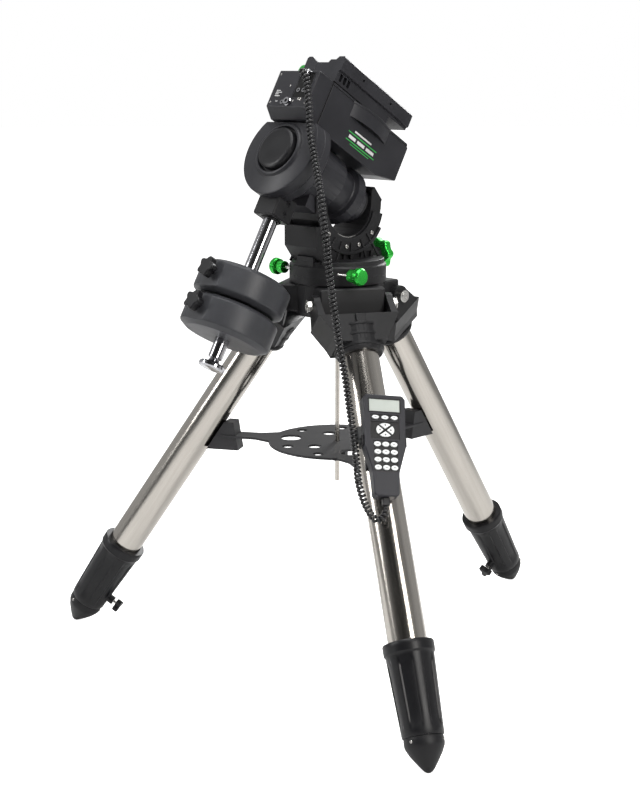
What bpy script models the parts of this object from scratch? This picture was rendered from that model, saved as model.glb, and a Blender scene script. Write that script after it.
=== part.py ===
"""German equatorial mount with counterweights on a three-legged steel tripod.

Metres, +Z up.  The origin is on the floor under the middle of the mount's outer box.  The polar axis
points to -Y and up.  Everything is drawn from the middle of the tripod, and moved as one at the end.
Sizes below are written in millimetres and multiplied by MM.
"""
import math

import bmesh
import bpy
from mathutils import Matrix, Vector

MM = 0.001
GAP = 0.3                     # clearance between touching pieces

# Tripod
LEG_ANGLES = {"a": -30.0, "b": 210.0, "c": 90.0}
LEG_TILT = 33.9               # each leg from the vertical, degrees
PIVOT_RADIUS = 107.8
PIVOT_HEIGHT = 795.0
TUBE_RADIUS = 38.1            # 3-inch steel tube
TUBE_WALL = 2.0
TUBE_SIDES = 24               # flats on the tubes and on every bore they pass through
INNER_TUBE_RADIUS = 34.0
YOKE_HALF_WIDTH = 85.0
LUG_HALF_WIDTH = 70.0
SOCKET_END = 117.0            # distances down each leg, from its pivot
CLAMP_TOP = 712.0
TUBE_END = 800.0
CLAMP_END = 889.0
FOOT_TIP = 955.8
INNER_TUBE_WALL = 3.0
INNER_TUBE_TOP = 420.0
FOOT_PLUG = 900.0
HUB_TOP = 828.7
TRAY_HEIGHT = 476.0

# Head
LATITUDE = 30.4               # polar axis above the horizontal, degrees
HEAD_CENTRE = (0.0, -126.6, 1086.4)      # where the polar and declination axes cross
ALTITUDE_AXIS = (0.0, -8.0, 995.0)
COLLAR_RADIUS = 103.0
ROCKER_RADIUS = 97.0
ROCKER_HALF_WIDTH = 42.0
CHEEK_START = -165.0          # arc of the base's two cheeks, which hold the rocker from both sides
CHEEK_END = -15.0
SEAT_RADIUS = 98.2
HEAD_DISC_RADIUS = 97.0
DRUM_RADIUS = 62.0            # fixed polar-axis housing, inside the sweep of the declination box
BOX_HALF_WIDTH = 58.0
COVER_RADIUS = 135.0          # drum-shaped cover that stands out of the +X side of the box
COVER_CENTRE = (-62.0, 103.0)
COVER_ARC = 29.0              # half of the cover's arc, degrees
WHEEL_TEETH = 36
WEIGHT_RADIUS = 95.0
SHAFT_RADIUS = 15.0
SADDLE_HALF_WIDTH = 55.0
FOOTPRINT_MIDDLE = 116.2      # y of the whole footprint, from the tripod's own middle
KNOB_LINE = -70.0             # y of the two azimuth screws

CORD_RADIUS = 7.8             # outside of the coiled handset cord

BLACK = ((0.030, 0.030, 0.033), 0.45, 0.0)
CHARCOAL = ((0.055, 0.054, 0.063), 0.40, 0.0)
WEIGHT_GREY = ((0.070, 0.072, 0.080), 0.45, 0.0)
DARK_PLASTIC = ((0.018, 0.018, 0.020), 0.55, 0.0)
STEEL = ((0.62, 0.60, 0.57), 0.22, 1.0)
CHROME = ((0.75, 0.75, 0.77), 0.10, 1.0)
GREEN = ((0.05, 0.42, 0.09), 0.25, 0.8)
BRASS = ((0.62, 0.45, 0.20), 0.30, 1.0)
TRAY_GREY = ((0.09, 0.09, 0.10), 0.50, 0.0)
KEY_WHITE = ((0.80, 0.80, 0.80), 0.60, 0.0)
WINDOW_GREY = ((0.45, 0.47, 0.45), 0.20, 0.0)


def clear_scene():
    for item in list(bpy.data.objects):
        bpy.data.objects.remove(item, do_unlink=True)


def material(name, look):
    colour, roughness, metallic = look
    made = bpy.data.materials.new(name + "_material")
    made.use_nodes = True
    shader = made.node_tree.nodes["Principled BSDF"]
    shader.inputs["Base Color"].default_value = (*colour, 1.0)
    shader.inputs["Roughness"].default_value = roughness
    shader.inputs["Metallic"].default_value = metallic
    return made


def frame_matrix(x_axis, y_axis, z_axis, origin):
    """A frame from its three unit axes, and its origin in millimetres."""
    made = Matrix.Identity(4)
    for column, axis in enumerate((x_axis, y_axis, z_axis)):
        for row in range(3):
            made[row][column] = axis[row]
    made.translation = Vector(origin) * MM
    return made


def leg_frame(letter):
    """Origin on the leg's pivot: z up along the leg, y out of its front face, x across it."""
    angle = math.radians(LEG_ANGLES[letter])
    tilt = math.radians(LEG_TILT)
    out = Vector((math.cos(angle), math.sin(angle), 0.0))
    up = Vector((0.0, 0.0, 1.0))
    along = up * math.cos(tilt) - out * math.sin(tilt)
    front = out * math.cos(tilt) + up * math.sin(tilt)
    return frame_matrix(front.cross(along), front, along, out * PIVOT_RADIUS + up * PIVOT_HEIGHT)


def head_frame():
    """Origin where the axes cross: z along the declination axis, y down the polar axis."""
    made = Matrix.Rotation(math.radians(-LATITUDE), 4, "X")
    made.translation = Vector(HEAD_CENTRE) * MM
    return made


WORLD = Matrix.Identity(4)
HEAD = head_frame()
ALTITUDE = Matrix.Translation(Vector(ALTITUDE_AXIS) * MM)


def facing(axis, at=(0.0, 0.0, 0.0)):
    """Turns a shape made along +Z to lie along +axis, with its base at the point given."""
    turn = Vector((0.0, 0.0, 1.0)).rotation_difference(Vector(axis)).to_matrix().to_4x4()
    turn.translation = Vector(at) * MM
    return turn


def node(name, work, look, frame, parent=None):
    """Turns bmesh geometry, in millimetres, into a named object placed by its frame."""
    bmesh.ops.recalc_face_normals(work, faces=work.faces)
    mesh = bpy.data.meshes.new(name)
    bmesh.ops.scale(work, vec=(MM, MM, MM), verts=work.verts)
    work.to_mesh(mesh)
    work.free()
    mesh.shade_smooth()
    mesh.set_sharp_from_angle(angle=math.radians(35.0))
    made = bpy.data.objects.new(name, mesh)
    made.matrix_world = frame
    bpy.context.scene.collection.objects.link(made)
    if look is None:
        made.hide_render = True
        made.display_type = "WIRE"
    else:
        made.data.materials.append(material(name, look))
    return made


def lathe(points, segments=28):
    """A closed (radius, height) outline turned about Z; its radii may touch the axis."""
    work = bmesh.new()
    rings = []
    for radius, height in points:
        if radius < 1e-6:
            rings.append([work.verts.new((0.0, 0.0, height))])
            continue
        ring = []
        for step in range(segments):
            angle = 2.0 * math.pi * step / segments
            ring.append(work.verts.new((radius * math.cos(angle), radius * math.sin(angle), height)))
        rings.append(ring)
    for index, ring in enumerate(rings):
        following = rings[(index + 1) % len(rings)]
        if len(ring) == 1 and len(following) == 1:
            continue
        for step in range(segments):
            after = (step + 1) % segments
            corners = [ring[step % len(ring)], ring[after % len(ring)],
                       following[after % len(following)], following[step % len(following)]]
            unique = list(dict.fromkeys(corners))
            work.faces.new(unique)
    return work


def rod(radius, low, high, segments=20):
    return lathe([(0, low), (radius, low), (radius, high), (0, high)], segments)


def prism(outline, low, high, bevel=0.0):
    """A closed outline in x and y, extruded along Z from low to high."""
    work = bmesh.new()
    floor = [work.verts.new((x, y, low)) for x, y in outline]
    roof = [work.verts.new((x, y, high)) for x, y in outline]
    work.faces.new(floor)
    work.faces.new(roof)
    for index in range(len(outline)):
        after = (index + 1) % len(outline)
        work.faces.new((floor[index], floor[after], roof[after], roof[index]))
    if bevel:
        bmesh.ops.recalc_face_normals(work, faces=work.faces)
        edges = [e for e in work.edges if e.calc_face_angle(0.0) > math.radians(40.0)]
        bmesh.ops.bevel(work, geom=edges, offset=bevel, segments=1, affect="EDGES")
    return work


def across(work):
    """Turns a prism drawn in y and z, and extruded along Z, so that its depth runs along X."""
    turn = Matrix(((0, 0, 1, 0), (1, 0, 0, 0), (0, 1, 0, 0), (0, 0, 0, 1)))
    bmesh.ops.transform(work, matrix=turn, verts=work.verts)
    return work


def upright(work):
    """Turns a prism drawn in x and z, and extruded along Z, so that its depth runs along Y."""
    turn = Matrix(((1, 0, 0, 0), (0, 0, -1, 0), (0, 1, 0, 0), (0, 0, 0, 1)))
    bmesh.ops.transform(work, matrix=turn, verts=work.verts)
    return work


def block(low, high, bevel=0.0):
    outline = [(low[0], low[1]), (high[0], low[1]), (high[0], high[1]), (low[0], high[1])]
    return prism(outline, low[2], high[2], bevel)


def moved(work, matrix):
    bmesh.ops.transform(work, matrix=placed(matrix), verts=work.verts)
    return work


def placed(matrix):
    """A placement given in metres, as one that works on geometry in millimetres."""
    made = matrix.copy()
    made.translation = matrix.translation / MM
    return made


def arc(radius, start, end, steps, centre=(0.0, 0.0)):
    points = []
    for step in range(steps + 1):
        angle = math.radians(start + (end - start) * step / steps)
        points.append((centre[0] + radius * math.cos(angle), centre[1] + radius * math.sin(angle)))
    return points


def lobed(radius, depth, lobes, per_lobe=6):
    """An outline whose radius swings in and out, like a hand knob."""
    points = []
    for step in range(lobes * per_lobe):
        angle = 2.0 * math.pi * step / (lobes * per_lobe)
        size = radius - depth * (0.5 - 0.5 * math.cos(lobes * angle))
        points.append((size * math.cos(angle), size * math.sin(angle)))
    return points


def toothed(radius, depth, teeth):
    points = []
    for step in range(teeth):
        for share, inward in ((-0.22, 0.0), (0.22, 0.0), (0.34, 1.0), (0.66, 1.0)):
            angle = 2.0 * math.pi * (step + share) / teeth
            size = radius - depth * inward
            points.append((size * math.cos(angle), size * math.sin(angle)))
    return points


def combine(target, work, frame, operation):
    """Unites or cuts target with more geometry, by a Boolean modifier that stays on it."""
    tool = node(f"{target.name}_tool_{len(target.modifiers)}", work, None, frame)
    step = target.modifiers.new(operation.lower(), "BOOLEAN")
    step.operation = operation
    step.object = tool
    step.solver = "EXACT"
    return target


def unite(target, work, frame):
    return combine(target, work, frame, "UNION")


def cut(target, work, frame):
    return combine(target, work, frame, "DIFFERENCE")


# ---------------------------------------------------------------- tripod

def make_hub():
    core = lathe([(6.0, 762.0), (92.0, 762.0), (98.0, 772.0), (98.0, HUB_TOP), (6.0, HUB_TOP)], 24)
    hub = node("tripod_hub", core, BLACK, WORLD)
    for letter, angle in LEG_ANGLES.items():
        frame = Matrix.Rotation(math.radians(angle), 4, "Z")
        lug = block((60.0, -LUG_HALF_WIDTH, 771.0), (118.0, LUG_HALF_WIDTH, HUB_TOP), 3.0)
        unite(hub, lug, frame)
    for letter in LEG_ANGLES:
        bore = moved(rod(6.3, -120.0, 120.0, 12), facing((1, 0, 0)))
        cut(hub, bore, leg_frame(letter))


def make_leg(letter):
    frame = leg_frame(letter)
    make_yoke(letter, frame)
    tube = lathe([(TUBE_RADIUS - TUBE_WALL, -TUBE_END), (TUBE_RADIUS, -TUBE_END),
                  (TUBE_RADIUS, -48.0), (TUBE_RADIUS - TUBE_WALL, -48.0)], TUBE_SIDES)
    node("leg_tube_" + letter, tube, STEEL, frame)
    make_clamp(letter, frame)
    bore = INNER_TUBE_RADIUS - INNER_TUBE_WALL
    extension = lathe([(bore, -FOOT_PLUG), (bore, -INNER_TUBE_TOP), (INNER_TUBE_RADIUS, -INNER_TUBE_TOP),
                       (INNER_TUBE_RADIUS, -CLAMP_END - GAP), (37.0, -CLAMP_END - GAP),
                       (38.5, -905.0), (30.0, -925.0), (9.0, -949.0),
                       (3.0, -FOOT_TIP), (0, -FOOT_TIP), (0, -FOOT_PLUG)], TUBE_SIDES)
    node("leg_extension_" + letter, extension, DARK_PLASTIC, frame)
    bolt = lathe([(0, -95.0), (11.0, -95.0), (11.0, -85.3), (6.0, -85.3),
                  (6.0, 85.3), (11.0, 85.3), (11.0, 95.0), (0, 95.0)], 12)
    node("pivot_bolt_" + letter, moved(bolt, facing((1, 0, 0))), CHROME, frame)


def make_yoke(letter, frame):
    """Two ears round the hub's lug, drawn together into the socket that holds the tube."""
    outline = [(-YOKE_HALF_WIDTH, -40.0), (-58.0, -84.0), (-51.0, -100.0), (51.0, -100.0), (58.0, -84.0),
               (YOKE_HALF_WIDTH, -40.0)]
    body = upright(prism(outline, -44.0, 44.0))
    yoke = node("leg_yoke_" + letter, body, BLACK, frame)
    for side in (-1.0, 1.0):
        ear = prism([(-38.0, -41.0)] + [(38.0, -41.0)] + arc(22.0, 0.0, 180.0, 8), 0.0, 14.1)
        ear = across(ear)
        place = Matrix.Translation((70.3 * MM if side > 0 else -84.4 * MM, 0.0, 0.0))
        unite(yoke, moved(ear, place), frame)
    socket = lathe([(0, -SOCKET_END), (47.0, -SOCKET_END), (50.0, -112.0), (50.0, -60.0), (0, -60.0)],
                   TUBE_SIDES)
    unite(yoke, socket, frame)
    cut(yoke, rod(TUBE_RADIUS + GAP, -130.0, -47.7, TUBE_SIDES), frame)
    cut(yoke, moved(rod(6.3, -100.0, 100.0, 12), facing((1, 0, 0))), frame)


def make_clamp(letter, frame):
    bore = TUBE_RADIUS + GAP
    throat = INNER_TUBE_RADIUS + GAP
    step = -TUBE_END - GAP
    outline = [(bore, step), (bore, -CLAMP_TOP), (48.5, -CLAMP_TOP), (48.5, -CLAMP_TOP - 24.0),
               (46.0, -CLAMP_TOP - 30.0), (40.5, -CLAMP_END), (throat, -CLAMP_END), (throat, step)]
    clamp = node("leg_clamp_" + letter, lathe(outline, TUBE_SIDES), DARK_PLASTIC, frame)
    boss = moved(rod(10.0, 38.0, 54.0, 12), facing((0, -1, 0), (0, 0, -855.0)))
    unite(clamp, boss, frame)
    cut(clamp, rod(throat, -CLAMP_END - 5.0, step, TUBE_SIDES), frame)
    cut(clamp, moved(rod(4.5, 43.0, 60.0, 10), facing((0, -1, 0), (0, 0, -855.0))), frame)
    knob = moved(prism(lobed(17.0, 9.0, 3, 6), 62.0, 74.0), facing((0, -1, 0), (0, 0, -855.0)))
    made = node("clamp_knob_" + letter, knob, DARK_PLASTIC, frame)
    stud = moved(rod(4.0, 44.0, 66.0, 10), facing((0, -1, 0), (0, 0, -855.0)))
    unite(made, stud, frame)


def make_spreader():
    """A lobed tray whose three arms end in pads against the legs, on a rod under the hub."""
    low, high = TRAY_HEIGHT - 2.5, TRAY_HEIGHT + 2.5
    tray = node("spreader_tray", prism(arc(150.0, 0.0, 350.0, 35), low, high), TRAY_GREY, WORLD)
    for letter, angle in LEG_ANGLES.items():
        frame = Matrix.Rotation(math.radians(angle), 4, "Z")
        arm = [(100.0, -62.0), (180.0, -24.0), (262.0, -22.0), (262.0, 22.0), (180.0, 24.0), (100.0, 62.0)]
        unite(tray, prism(arm, low, high), frame)
        pad = [(222.0, 445.0), (296.0, 445.0), (254.0, 508.0), (232.0, 508.0)]
        shoe = upright(prism([(x, z) for x, z in pad], -20.0, 20.0))
        unite(tray, shoe, frame)
        cut(tray, rod(TUBE_RADIUS + GAP, -800.0, -48.0, TUBE_SIDES), leg_frame(letter))
    for turn in (0.0, 120.0, 240.0):
        for radius, spot, size in ((105.0, 90.0, 24.0), (122.0, 55.0, 12.0), (118.0, 130.0, 13.0),
                                   (70.0, 30.0, 15.0)):
            angle = math.radians(turn + spot)
            place = Matrix.Translation((radius * math.cos(angle) * MM, radius * math.sin(angle) * MM, 0.0))
            cut(tray, rod(size, low - 5.0, high + 5.0, 12), place)
    cut(tray, rod(6.0, low - 5.0, high + 5.0, 14), WORLD)
    node("center_rod", rod(5.4, 389.0, 800.0, 14), STEEL, WORLD)
    grip = prism(lobed(24.0, 4.0, 6, 4), 438.0, low - GAP)
    knob = node("spreader_knob", grip, DARK_PLASTIC, WORLD)
    cut(knob, rod(5.7, 400.0, 500.0, 14), WORLD)


# ---------------------------------------------------------------- azimuth base and altitude rocker

def make_base():
    collar = lathe([(5.0, HUB_TOP + GAP), (100.0, HUB_TOP + GAP), (COLLAR_RADIUS, 833.0),
                    (COLLAR_RADIUS, 868.0), (98.0, 872.0), (98.0, 880.0), (5.0, 880.0)], 36)
    base = node("azimuth_base", collar, BLACK, WORLD)
    seat = [(-84.0, 876.0), (60.0, 876.0), (60.0, 935.0), (-70.0, 935.0), (-100.0, 955.0), (-111.0, 955.0),
            (-111.0, 912.0)]
    unite(base, across(prism(seat, -47.0, 47.0)), WORLD)
    foot = [(-98.0, 868.0), (88.0, 868.0), (84.0, 886.0), (66.0, 902.0), (50.0, 902.0), (-98.0, 890.0)]
    unite(base, across(prism(foot, -24.0, 24.0)), WORLD)
    cut(base, moved(rod(SEAT_RADIUS, -80.0, 80.0, 36), facing((1, 0, 0))), ALTITUDE)
    for side in (-1.0, 1.0):
        for start, end in ((-42.0, -30.0), (-24.0, -8.0), (0.0, 22.0), (30.0, 52.0)):
            window = [(start, 882.0), (end, 882.0), (end + 2.0, 894.0), (start + 2.0, 894.0)]
            pocket = across(prism(window, 41.0, 60.0))
            if side < 0:
                bmesh.ops.transform(pocket, matrix=Matrix.Scale(-1.0, 4, (1, 0, 0)), verts=pocket.verts)
            cut(base, pocket, WORLD)
    boss = moved(rod(15.0, 82.0, 108.0, 16), facing((0, 1, 0), (12.0, 0, 880.0)))
    unite(base, boss, WORLD)
    cut(base, moved(rod(6.3, 92.0, 130.0, 12), facing((0, 1, 0), (12.0, 0, 880.0))), WORLD)
    for side in (-1.0, 1.0):
        cheek = across(prism(arc(99.4, CHEEK_START, CHEEK_END, 20) + arc(70.0, CHEEK_END, CHEEK_START, 20),
                             ROCKER_HALF_WIDTH + 0.4, 47.0))
        if side < 0:
            bmesh.ops.transform(cheek, matrix=Matrix.Scale(-1.0, 4, (1, 0, 0)), verts=cheek.verts)
        unite(base, cheek, ALTITUDE)
        screw_hole = moved(rod(4.4, 38.0, 130.0, 12), facing((side, 0, 0), (0, KNOB_LINE, 857.0)))
        cut(base, screw_hole, WORLD)


def make_base_knobs():
    for name, side, wound_in in (("azimuth_knob_right", 1.0, 0.0), ("azimuth_knob_left", -1.0, 16.0)):
        place = facing((side, 0, 0))
        frame = Matrix.Translation((0, KNOB_LINE * MM, 857.0 * MM))
        profile = [(0, 56.0), (4.0, 56.0), (4.0, 104.0), (13.0, 106.0), (13.0, 122.0), (18.0, 126.0),
                   (18.0, 136.0), (14.0, 140.0), (0, 140.0)]
        profile = [(radius, height - wound_in) for radius, height in profile]
        node(name, moved(lathe(profile, 16), place), GREEN, frame)
    frame = Matrix.Translation((12.0 * MM, 0, 880.0 * MM))
    knob = moved(prism(lobed(34.0, 5.0, 7, 6), 109.0, 128.0), facing((0, 1, 0)))
    made = node("altitude_knob", knob, GREEN, frame)
    unite(made, moved(rod(6.0, 93.0, 118.0, 12), facing((0, 1, 0))), frame)


def make_rocker():
    """A U-shaped cradle, round underneath, that turns in the base's seat and carries the housing."""
    outer = arc(ROCKER_RADIUS, 0.0, -140.0, 16)
    inner = arc(66.0, -180.0, 0.0, 16)
    outline = outer + [(-92.0, -28.0), (-97.0, 0.0), (-97.0, 24.0), (-70.0, 24.0)]
    outline += inner + [(68.0, 26.0), (76.0, 32.0), (99.0, 4.0)]
    rocker = node("altitude_rocker", across(prism(outline, -ROCKER_HALF_WIDTH, ROCKER_HALF_WIDTH)), BLACK,
                  ALTITUDE)
    cut(rocker, moved(rod(DRUM_RADIUS + 1.0, -100.0, 163.0, 28), facing((0, 1, 0))), HEAD)
    cut(rocker, moved(rod(49.0, 150.0, 200.0, 28), facing((0, 1, 0))), HEAD)
    cut(rocker, block((-36.5, 30.0, -78.5), (36.5, 76.5, 0.0)), HEAD)


def make_housing():
    """The fixed polar-axis housing: front drum with the wheel's chamber, waist, flange and rear barrel."""
    outline = [(32.0, 17.0), (56.0, 17.0), (DRUM_RADIUS, 23.0), (DRUM_RADIUS, 96.0), (50.0, 102.0),
               (50.0, 138.0), (DRUM_RADIUS, 140.0), (DRUM_RADIUS, 162.0), (48.0, 166.0), (44.0, 190.0),
               (32.0, 190.0), (32.0, 76.0), (57.0, 76.0), (57.0, 38.0), (32.0, 38.0)]
    housing = node("ra_housing", moved(lathe(outline, 28), facing((0, 1, 0))), CHARCOAL, HEAD)
    unite(housing, block((-36.0, 40.0, -78.0), (36.0, 76.0, -45.0)), HEAD)
    cut(housing, block((-31.0, 46.0, -74.0), (31.0, 70.0, -40.0)), HEAD)
    node("ra_rear_cap", moved(lathe([(0, 190.3), (43.0, 190.3), (40.0, 198.0), (0, 198.0)], 28),
                              facing((0, 1, 0))), DARK_PLASTIC, HEAD)
    wheel = prism(toothed(53.0, 3.0, WHEEL_TEETH), 50.0, 64.0)
    made = node("ra_worm_wheel", moved(wheel, facing((0, 1, 0))), BRASS, HEAD)
    cut(made, moved(rod(31.8, 40.0, 80.0, 24), facing((0, 1, 0))), HEAD)
    node("ra_shaft", moved(lathe([(24.0, 14.7), (31.5, 14.7), (31.5, 185.0), (24.0, 185.0)], 24),
                           facing((0, 1, 0))), STEEL, HEAD)
    worm = lathe([(0, -28.0), (4.0, -28.0), (4.0, -18.0), (8.0, -16.0), (6.6, 0.0), (8.0, 16.0),
                  (4.0, 18.0), (4.0, 28.0), (0, 28.0)], 16)
    node("ra_worm", moved(worm, facing((1, 0, 0))), STEEL,
         HEAD @ Matrix.Translation((0, 57.0 * MM, -61.6 * MM)))


# ---------------------------------------------------------------- turning head and declination box

def make_head():
    profile = [(0, -48.0), (48.0, -48.0), (50.0, -56.0), (57.0, -54.0), (64.0, -49.0),
               (HEAD_DISC_RADIUS - 4.0, -48.0), (HEAD_DISC_RADIUS, -44.0), (HEAD_DISC_RADIUS, -4.0),
               (86.0, 2.0), (76.0, 14.4), (0, 14.4)]
    head = node("ra_head", moved(lathe(profile, 32), facing((0, 1, 0))), CHARCOAL, HEAD)
    cut(head, block((-120.0, -90.0, 62.7), (120.0, 60.0, 130.0)), HEAD)
    cut(head, block((-31.0, -29.0, -120.0), (31.0, 30.0, -79.7)), HEAD)
    cut(head, rod(30.0, 40.0, 80.0, 24), HEAD)
    cap = lathe([(0, -64.0), (40.0, -64.0), (46.0, -60.0), (46.0, -48.3), (0, -48.3)], 24)
    node("ra_front_cap", moved(cap, facing((0, 1, 0))), DARK_PLASTIC, HEAD)
    socket = node("shaft_socket", block((-30.0, -28.0, -131.0), (30.0, 26.0, -80.0), 3.0), BLACK, HEAD)
    cut(socket, rod(SHAFT_RADIUS + GAP, -140.0, -88.0, 24), HEAD)
    for height in (-93.0, -115.0):
        cut(socket, moved(rod(5.5, 24.0, 40.0, 12), facing((1, 0, 0), (0, 2.0, height))), HEAD)


def make_declination_box():
    half = BOX_HALF_WIDTH
    shell = [(-31.7, 63.0), (-31.7, 160.0), (230.0, 160.0), (233.0, 157.0), (233.0, 80.0), (176.0, 63.0)]
    housing = node("dec_housing", across(prism(shell, -half, half, 1.5)), CHARCOAL, HEAD)
    inside = [(-60.0, 69.0), (-60.0, 166.0), (227.0, 166.0), (227.0, 84.0), (174.0, 69.0)]
    cut(housing, across(prism(inside, -half + 5.0, half - 5.0)), HEAD)
    cut(housing, rod(28.3, 50.0, 80.0, 24), HEAD)
    bulge = arc(COVER_RADIUS, -COVER_ARC, COVER_ARC, 12, COVER_CENTRE)
    chord = COVER_RADIUS * math.sin(math.radians(COVER_ARC))
    foot = [(half - 4.0, COVER_CENTRE[1] + chord), (half - 4.0, COVER_CENTRE[1] - chord)]
    unite(housing, prism(bulge + foot, 130.0, 158.0), HEAD)
    lid = [(-31.7, 160.3), (-31.7, 165.0), (226.0, 165.0), (229.5, 160.3)]
    cover = node("dec_lid", across(prism(lid, -half, half)), CHARCOAL, HEAD)
    cut(cover, rod(36.0, 150.0, 180.0, 28), HEAD)
    port = [(-32.0, 66.0), (-53.0, 66.0), (-77.0, 83.0), (-77.0, 165.0), (-32.0, 165.0)]
    box = node("port_box", across(prism(port, -half, half, 1.5)), CHARCOAL, HEAD)
    cut(box, across(prism([(-20.0, 72.0), (-52.0, 72.0), (-72.0, 86.0), (-72.0, 160.0), (-20.0, 160.0)],
                          -half + 5.0, half - 5.0)), HEAD)
    cut(box, block((8.0, -80.0, 104.0), (50.0, -75.0, 161.0)), HEAD)
    socket = [(3.5, 77.3), (8.5, 77.3), (8.5, 84.0), (3.5, 84.0)]
    node("power_socket", moved(lathe(socket, 16), facing((0, -1, 0), (2.2, 0, 93.0))), CHROME, HEAD)
    plug = block((28.0, -92.0, 147.0), (40.0, -75.3, 160.0), 1.0)
    node("cord_plug_top", plug, CHROME, HEAD)


def make_declination_drive():
    node("dec_shaft", lathe([(18.0, 63.5), (28.0, 63.5), (28.0, 170.7), (18.0, 170.7)], 24), STEEL, HEAD)
    wheel = node("dec_worm_wheel", prism(toothed(44.0, 3.0, WHEEL_TEETH), 96.0, 108.0), BRASS, HEAD)
    cut(wheel, rod(28.3, 80.0, 120.0, 24), HEAD)
    worm = lathe([(0, -30.0), (4.0, -30.0), (4.0, -18.0), (8.0, -16.0), (6.6, 0.0), (8.0, 16.0),
                  (4.0, 18.0), (4.0, 30.0), (0, 30.0)], 16)
    node("dec_worm", moved(worm, facing((1, 0, 0))), STEEL,
         HEAD @ Matrix.Translation((0, 53.0 * MM, 102.0 * MM)))


def make_saddle():
    """A long dovetail saddle: fixed rail on the +X side, sliding clamp jaw on the -X side."""
    outline = [(-20.6, 197.0), (-20.6, 214.4), (11.0, 214.4), (15.0, 221.0), (30.0, 221.0), (36.0, 228.0),
               (51.0, 228.0), (SADDLE_HALF_WIDTH, 224.0), (SADDLE_HALF_WIDTH, 197.0), (50.0, 195.0),
               (50.0, 190.0), (-50.0, 190.0), (-50.0, 197.0)]
    body = node("saddle_body", upright(prism(outline, -213.0, 25.0)), CHARCOAL, HEAD)
    unite(body, block((-50.0, -25.0, 171.0), (50.0, 152.0, 192.0)), HEAD)
    for index in range(3):
        start = -16.0 + 12.5 * index
        cut(body, block((42.0, start, 177.0), (60.0, start + 8.0, 193.0)), HEAD)
    for index in range(2):
        hole = moved(rod(3.0, 48.0, 60.0, 8), facing((1, 0, 0), (0, 45.0 + 95.0 * index, 212.0)))
        cut(body, hole, HEAD)
    for spot in (5.0, 180.0):
        cut(body, moved(rod(4.4, 20.0, 60.0, 10), facing((-1, 0, 0), (0, spot, 205.0))), HEAD)
    outline = [(-21.0, 197.3), (-SADDLE_HALF_WIDTH, 197.3), (-SADDLE_HALF_WIDTH, 224.0), (-51.0, 228.0),
               (-42.0, 228.0), (-21.0, 214.7)]
    jaw = node("saddle_jaw", upright(prism(outline, -213.0, 25.0)), CHARCOAL, HEAD)
    knob_profile = [(0, 24.0), (4.0, 24.0), (4.0, 64.0), (9.0, 66.5), (18.0, 68.0), (18.0, 82.0),
                    (15.0, 86.0), (0, 86.0)]
    cut(jaw, moved(rod(4.4, 10.0, 70.0, 10), facing((-1, 0, 0), (0, 5.0, 205.0))), HEAD)
    frame = HEAD @ Matrix.Translation((0, 5.0 * MM, 205.0 * MM))
    node("saddle_knob", moved(lathe(knob_profile, 20), facing((-1, 0, 0))), GREEN, frame)


def make_counterweights():
    node("counterweight_shaft", rod(SHAFT_RADIUS, -438.0, -88.3, 24), CHROME, HEAD)
    for index, top in enumerate((-258.0, -330.0)):
        low = top - 67.0
        bore = SHAFT_RADIUS + GAP
        profile = [(bore, low), (80.0, low), (WEIGHT_RADIUS, low + 9.0), (WEIGHT_RADIUS, top - 9.0),
                   (82.0, top), (bore, top)]
        weight = node(f"counterweight_{index + 1}", lathe(profile, 32), WEIGHT_GREY, HEAD)
        middle = top - 28.0
        cut(weight, block((-30.0, -100.0, low - 5.0), (30.0, -91.0, top + 5.0)), HEAD)
        screw = facing((0, -1, 0), (0, 0, middle))
        cut(weight, moved(rod(5.3, 70.0, 100.0, 12), screw), HEAD)
        frame = HEAD @ Matrix.Translation((0, 0, middle * MM))
        knob = moved(prism(lobed(21.0, 5.0, 5, 6), 98.0, 114.0), facing((0, -1, 0)))
        made = node(f"weight_knob_{index + 1}", knob, DARK_PLASTIC, frame)
        unite(made, moved(rod(5.0, 72.0, 106.0, 12), facing((0, -1, 0))), frame)
    toe = lathe([(0, -461.0), (24.0, -461.0), (27.5, -457.0), (27.5, -450.0), (12.0, -446.0),
                 (10.0, -438.3), (0, -438.3)], 28)
    node("toe_saver", toe, CHROME, HEAD)


# ---------------------------------------------------------------- handset

HANDSET_TOP = -232.0          # down the front leg, from its pivot
HANDSET_LENGTH = 210.0
HANDSET_FACE = 75.0
HANDSET_TURN = -7.5           # the handset hangs askew in its holder, degrees


def handset_frame():
    """Origin at the middle of the handset's top edge: x across, y out of its face, z up."""
    shift = Matrix.Translation((-12.0 * MM, HANDSET_FACE * MM, HANDSET_TOP * MM))
    return leg_frame("a") @ shift @ Matrix.Rotation(math.radians(HANDSET_TURN), 4, "Y")


def key_mat(name, keys, low, high, frame):
    """A rubber sheet with its keys; the sheet lies in a pocket of the case."""
    mat = node(name, block((low[0], -2.3, low[1]), (high[0], -1.2, high[1])), KEY_WHITE, frame)
    for x, z, half_x, half_z in keys:
        unite(mat, block((x - half_x, -1.8, z - half_z), (x + half_x, 2.0, z + half_z)), frame)


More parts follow.
